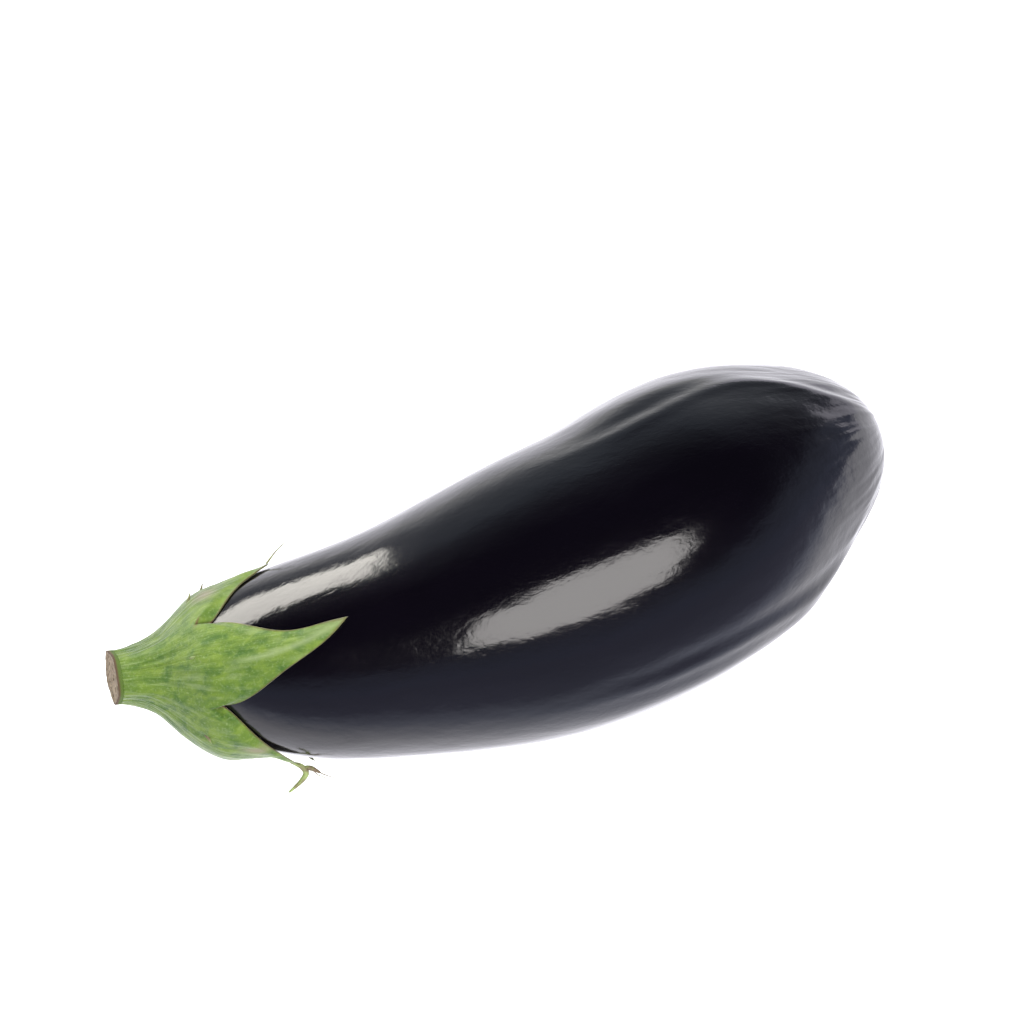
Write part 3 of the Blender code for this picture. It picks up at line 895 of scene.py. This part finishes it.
@dataclass
class Threads:
    """The dry tips and hairs at the ends of the upper and lower sepals, as one piece."""

    calyx: Calyx
    right: Vector = Vector((0.9285, -0.3714, 0.0))
    up: Vector = Vector((0.276, 0.690, 0.669))

    def routes(self) -> list[tuple[list[Vector], list[float]]]:
        """Each thread's points and its radius at each of them."""
        lower = Vector(self.calyx.on_midline(Side.LOWER, 1.0, -0.4))
        roots = [Vector(self.calyx.on_midline(Side.LOWER, share, -0.5)) for share in (0.82, 0.9, 0.96)]
        steps = ((0.2, -0.9, -0.9), (-0.7, -1.8, -1.7), (-2.9, -2.9, -2.5), (-6.2, -4.1, -3.2))
        hook = roots + [lower + Vector(step) for step in steps]
        upper = Vector(self.calyx.on_midline(Side.UPPER, 0.97, -0.3))
        return [
            (hook, [0.3, 0.6, 0.8, 0.9, 0.8, 0.6, 0.3]),
            (self.route(upper, ((0, 0), (1.6, 2.2), (3.2, 4.2), (5.2, 6.0))), [0.3, 0.2, 0.15, 0.1]),
            (self.route(lower, ((-0.5, 0), (1.0, 0.1), (2.6, -0.4), (4.4, -1.4))), [0.5, 0.75, 0.7, 0.25]),
            (self.route(lower, ((2.6, -0.4), (4.6, -1.6), (6.6, -2.3), (8.4, -2.9))), [0.15, 0.14, 0.12, 0.08]),
            (self.route(lower, ((2.2, -0.6), (3.6, -2.2), (5.4, -2.4), (6.4, -3.6))), [0.15, 0.12, 0.1, 0.06]),
        ]

    def route(self, start: Vector, steps: Sequence[tuple[float, float]]) -> list[Vector]:
        """Points from a start, by steps to the picture's right and up."""
        return [start + right * self.right + up * self.up for right, up in steps]

    def build(self) -> bpy.types.Object:
        """Each thread as a closed, tapering tube.

        Returns:
            The object.
        """
        bm = bmesh.new()
        for route, radii in self.routes():
            curve = bpy.data.curves.new("thread", "CURVE")
            curve.dimensions = "3D"
            curve.bevel_depth = MM
            curve.bevel_resolution = 3
            curve.resolution_u = 8
            curve.use_fill_caps = True
            spline = curve.splines.new("NURBS")
            spline.points.add(len(route) - 1)
            spline.use_endpoint_u = True
            spline.order_u = 3
            for point, at, radius in zip(spline.points, route, radii):
                point.co = (*(at * MM), 1.0)
                point.radius = radius
            guide = bpy.data.objects.new("thread", curve)
            bpy.context.scene.collection.objects.link(guide)
            depsgraph = bpy.context.evaluated_depsgraph_get()
            bm.from_mesh(bpy.data.meshes.new_from_object(guide.evaluated_get(depsgraph)))
            bpy.data.objects.remove(guide)
            bpy.data.curves.remove(curve)
        bmesh.ops.remove_doubles(bm, verts=bm.verts, dist=1e-6)
        return finish_piece("dry_threads", bm, DryFibre().make())


@dataclass
class CutEnd:
    """The stem's dried end, where the knife went through."""

    form: FruitForm
    calyx: Calyx
    face: float = -133.6
    thickness: float = 1.5
    radius: float = 7.5
    columns: int = 120
    rings: int = 90
    face_rings: int = 70
    back_rings: int = 10
    pit_depth: float = 0.55
    pit_size: tuple[float, float, float] = (1.3, 1.3, 1.3)
    ragged_depth: float = 0.18
    ragged_size: tuple[float, float, float] = (2.2, 2.2, 2.2)
    dish_depth: float = 0.35

    def build(self) -> bpy.types.Object:
        """A thin disc with pitted pith and a raised, ragged rim.

        Returns:
            The object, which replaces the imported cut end.
        """
        bm, turn, down = sphere_grid(self.columns, self.rings)
        ring = np.round(down * self.rings)
        share = np.where(ring <= self.face_rings, ring / self.face_rings, 1.0)
        side_end = self.rings - self.back_rings
        share = np.where(ring > side_end, (self.rings - ring) / (self.back_rings - 1), share)
        depth = np.clip((ring - self.face_rings) / (side_end - self.face_rings), 0, 1)
        on_face = depth == 0
        corner = 1 + self.calyx.corner_share * np.cos(
            np.radians(len(self.calyx.sepals) * (turn - self.calyx.notch_turn))
        )
        circle = np.stack([np.zeros_like(turn), np.cos(np.radians(turn)), np.sin(np.radians(turn))], axis=-1)
        flat = self.radius * share[:, None] * circle
        grain = rough(flat, self.pit_size, GRAIN_SEED)
        pits = smooth_step(grain, 0.15, 0.55) * (1 - smooth_step(share, 0.82, 0.95)) * on_face
        ragged = self.ragged_depth * rough(flat, self.ragged_size, RIM_SEED) * on_face
        dish = self.dish_depth * (1 - smooth_step(share, 0.7, 0.95)) * on_face
        station = self.face + self.thickness * depth + pits * self.pit_depth + np.abs(ragged) + dish
        radius = self.radius * corner * share
        at_cut = np.full_like(turn, self.face)
        points = self.form.place(station, turn, radius, self.calyx.lean(at_cut, turn, radius))
        move_to(bm, points)
        piece = finish_piece("stem_cut_face", bm, DryCork().make())
        write_attribute(piece, "pit", pits)
        write_attribute(piece, "rim", smooth_step(share, 0.9, 0.99))
        write_attribute(piece, "fresh", smooth_step(depth, 0.25, 0.6))
        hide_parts("stem_cut_end")
        return piece


@dataclass
class Studio:
    """The pale floor, the soft lights and the camera. Lengths here are millimetres."""

    target: tuple[float, float, float] = (-8.8, 32.1, 40.0)
    azimuth: float = -21.8
    elevation: float = 48.0
    distance: float = 1000.0
    lens: float = 122.07
    sensor: float = 36.0
    middle: tuple[float, float, float] = (0.0, 0.0, 40.0)
    key_place: tuple[float, float, float] = (-5.0, 45.0, 1200.0)
    key_size: tuple[float, float] = (2000.0, 640.0)
    key_radiance: float = 7.0
    rim_place: tuple[float, float, float] = (200.0, 50.0, 900.0)
    rim_aim: tuple[float, float, float] = (-60.0, 10.0, 40.0)
    rim_size: tuple[float, float] = (500.0, 500.0)
    rim_radiance: float = 5.0
    glow_falloff: float = 1.5
    neck_window_y: float = 60.0
    floor_half: float = 4000.0
    main_outline: Points = (
        (-126, -64), (-30, -70), (50, -60), (100, -30), (118, 20), (100, 62), (40, 62), (-60, 42), (-126, 20)
    )
    neck_outline: Points = ((-62, 84), (-82, 122), (-140, 152), (-240, 154), (-240, 68))
    far_outline: Points = ((-380, -150), (380, -150), (380, 160), (-380, 160))

    def direction(self, azimuth: float, elevation: float) -> Vector:
        """The unit vector towards an azimuth, 0 at -Y and 90 at +X, and an elevation."""
        a, e = math.radians(azimuth), math.radians(elevation)
        return Vector((math.sin(a) * math.cos(e), -math.cos(a) * math.cos(e), math.sin(e)))

    def camera(self) -> bpy.types.Object:
        """The camera at the photograph's viewing angle.

        Returns:
            The camera, which the scene then uses.
        """
        data = bpy.data.cameras.new("camera")
        data.lens, data.sensor_width = self.lens, self.sensor
        data.clip_start, data.clip_end = 0.01, 50.0
        camera = bpy.data.objects.new("camera", data)
        back = self.direction(self.azimuth, self.elevation)
        camera.location = (Vector(self.target) + back * self.distance) * MM
        camera.rotation_mode = "QUATERNION"
        camera.rotation_quaternion = (-back).to_track_quat("-Z", "Y")
        bpy.context.scene.collection.objects.link(camera)
        bpy.context.scene.camera = camera
        return camera

    def panel(
        self,
        name: str,
        centre: Sequence[float],
        aim: Sequence[float],
        size: tuple[float, float],
        radiance: float,
    ) -> bpy.types.Object:
        """A soft rectangular light.

        Args:
            name: The light's name.
            centre: Where it is.
            aim: What it faces.
            size: Its width and height.
            radiance: How bright its face is, 1 being the white of the picture.

        Returns:
            The light, which only matt surfaces see.
        """
        data = bpy.data.lights.new(name, "AREA")
        data.shape = "RECTANGLE"
        data.size, data.size_y = size[0] * MM, size[1] * MM
        data.energy = radiance * math.pi * data.size * data.size_y
        light = bpy.data.objects.new(name, data)
        light.location = Vector(centre) * MM
        light.rotation_mode = "QUATERNION"
        light.rotation_quaternion = (Vector(aim) - Vector(centre)).to_track_quat("-Z", "Y")
        light.visible_glossy = False
        bpy.context.scene.collection.objects.link(light)
        return light

    def glow(
        self,
        name: str,
        plane: tuple[Vector, Vector, Vector],
        outline: Points,
        softness: float,
        radiance: float,
        colour: Colour,
    ) -> bpy.types.Object:
        """A flat, soft-edged light that only mirroring surfaces see.

        Args:
            name: The light's name.
            plane: Its middle, its right and its up.
            outline: Its corners, as steps to the right and up.
            softness: How wide its fading border is.
            radiance: How bright it is inside the border.
            colour: Its colour.

        Returns:
            The light.
        """
        middle, right, up = plane
        bm = bmesh.new()
        corners = [bm.verts.new((middle + u * right + v * up) * MM) for u, v in outline]
        face = bm.faces.new(corners)
        bmesh.ops.inset_region(bm, faces=[face], thickness=softness * MM, depth=0.0)
        inside = np.array([float(vertex in set(face.verts)) for vertex in bm.verts])
        mesh = bpy.data.meshes.new(name)
        bm.to_mesh(mesh)
        bm.free()
        material = bpy.data.materials.new(name)
        nodes = NodeTree(material)
        share = nodes.sum("POWER", nodes.attribute("glow").outputs["Fac"], self.glow_falloff)
        bright = nodes.add("Emission", {"Color": colour, "Strength": nodes.sum("MULTIPLY", share, radiance)})
        clear = nodes.add("BsdfTransparent")
        shown = nodes.add("MixShader", {0: share, 1: clear.outputs[0], 2: bright.outputs[0]})
        nodes.add("OutputMaterial", {0: shown.outputs[0]})
        mesh.materials.append(material)
        light = bpy.data.objects.new(name, mesh)
        bpy.context.scene.collection.objects.link(light)
        write_attribute(light, "glow", inside)
        for ray in ("camera", "diffuse", "transmission", "volume_scatter", "shadow"):
            setattr(light, "visible_" + ray, False)
        return light

    def facing(self, azimuth: float, elevation: float, distance: float) -> tuple[Vector, Vector, Vector]:
        """The plane square to a direction from the fruit: its middle, its right and its up."""
        outward = self.direction(azimuth, elevation)
        right = Vector((0, 0, 1)).cross(outward).normalized()
        return Vector(self.middle) + distance * outward, right, outward.cross(right)

    def floor(self) -> bpy.types.Object:
        """The pale floor, which glows: to the camera, white enough to wash out all but the softest shadow; to
        other rays, a glow from dim slate at the front to bright at the back, as the studio that the skin
        mirrors.
        """
        bm = bmesh.new()
        bmesh.ops.create_grid(bm, x_segments=8, y_segments=8, size=self.floor_half * MM)
        mesh = bpy.data.meshes.new("floor")
        bm.to_mesh(mesh)
        bm.free()
        material = bpy.data.materials.new("floor")
        nodes = NodeTree(material)
        white = nodes.add("BsdfDiffuse", {"Color": (0.85, 0.85, 0.85)})
        seen = nodes.add("Emission", {"Color": (1.0, 1.0, 1.0), "Strength": 0.9})
        lit = nodes.add("AddShader", {0: white.outputs[0], 1: seen.outputs[0]})
        across = nodes.add("SeparateXYZ", {0: nodes.add("TexCoord").outputs["Object"]}).outputs[1]
        back = nodes.sum("ADD", nodes.sum("MULTIPLY", across, 1 / 0.4), 0.75)
        tone = nodes.ramp(
            back, (0.0, (0.20, 0.21, 0.29)), (0.475, (0.24, 0.25, 0.34)), (0.575, (0.50, 0.53, 0.66)),
            (0.66, (0.94, 0.93, 1.0)),
        )
        mirrored = nodes.add("Emission", {"Color": tone, "Strength": 1.9})
        path = nodes.add("LightPath")
        choice = {0: path.outputs["Is Camera Ray"], 1: mirrored.outputs[0], 2: lit.outputs[0]}
        shown = nodes.add("MixShader", choice)
        nodes.add("OutputMaterial", {0: shown.outputs[0]})
        mesh.materials.append(material)
        floor = bpy.data.objects.new("floor", mesh)
        bpy.context.scene.collection.objects.link(floor)
        return floor

    def surroundings(self) -> None:
        """White behind the object, and a dim studio in what the skin mirrors."""
        world = bpy.data.worlds.new("studio")
        bpy.context.scene.world = world
        nodes = NodeTree(world)
        toward = nodes.add("TexCoord").outputs["Generated"]
        parts = nodes.add("SeparateXYZ", {0: toward})
        front = nodes.ramp(
            parts.outputs[2],
            (0.0, (0.25, 0.28, 0.40)),
            (0.26, (0.18, 0.20, 0.26)),
            (0.4, (0.04, 0.04, 0.05)),
            (0.6, (0.013, 0.013, 0.014)),
        )
        rear = nodes.ramp(
            parts.outputs[2],
            (0.0, (1.0, 1.0, 1.0)),
            (0.17, (0.66, 0.68, 0.72)),
            (0.35, (0.35, 0.38, 0.42)),
            (0.64, (0.27, 0.31, 0.36)),
            (0.85, (0.12, 0.13, 0.15)),
        )
        turned = nodes.ramp(parts.outputs[1], (0.2, 0.0), (0.8, 1.0))
        dim = nodes.add("Background", {"Color": nodes.mix(turned, front, rear), "Strength": 1.5})
        white = nodes.add("Background", {"Color": (1.0, 1.0, 1.0), "Strength": 1.0})
        path = nodes.add("LightPath")
        choice = {0: path.outputs["Is Camera Ray"], 1: dim.outputs[0], 2: white.outputs[0]}
        nodes.add("OutputWorld", {0: nodes.add("MixShader", choice).outputs[0]})

    def build(self) -> None:
        """Sets up the whole studio."""
        self.camera()
        self.floor()
        self.surroundings()
        azimuth, elevation, distance = self.key_place
        key = self.direction(azimuth, elevation) * distance
        self.panel("key", key, self.middle, self.key_size, self.key_radiance)
        azimuth, elevation, distance = self.rim_place
        rim = self.direction(azimuth, elevation) * distance
        self.panel("rim light", rim, self.rim_aim, self.rim_size, self.rim_radiance)
        before = self.facing(-5.0, 44.0, 200.0)
        self.glow("main window", before, self.main_outline, 44.0, 7.0, (1.0, 0.97, 0.95))
        upright = (Vector((0, self.neck_window_y, 0)), Vector((1, 0, 0)), Vector((0, 0, 1)))
        self.glow("neck window", upright, self.neck_outline, 28.0, 12.0, (1.0, 0.97, 0.90))
        self.glow("far window", self.facing(128.0, 6.0, 900.0), self.far_outline, 120.0, 1.8, (0.9, 0.88, 1.0))
        bpy.context.scene.view_settings.view_transform = "Standard"


def main() -> None:
    """Builds the eggplant's pieces in order, then the studio."""
    logging.basicConfig(level=logging.INFO)
    form = FruitForm()
    calyx = Calyx(form)
    for part in (Fruit(form), calyx, Prickles(form, calyx), Threads(calyx), CutEnd(form, calyx)):
        piece = part.build()
        log.info("built %s", piece.name)
    Studio().build()


if __name__ == "__main__":
    main()
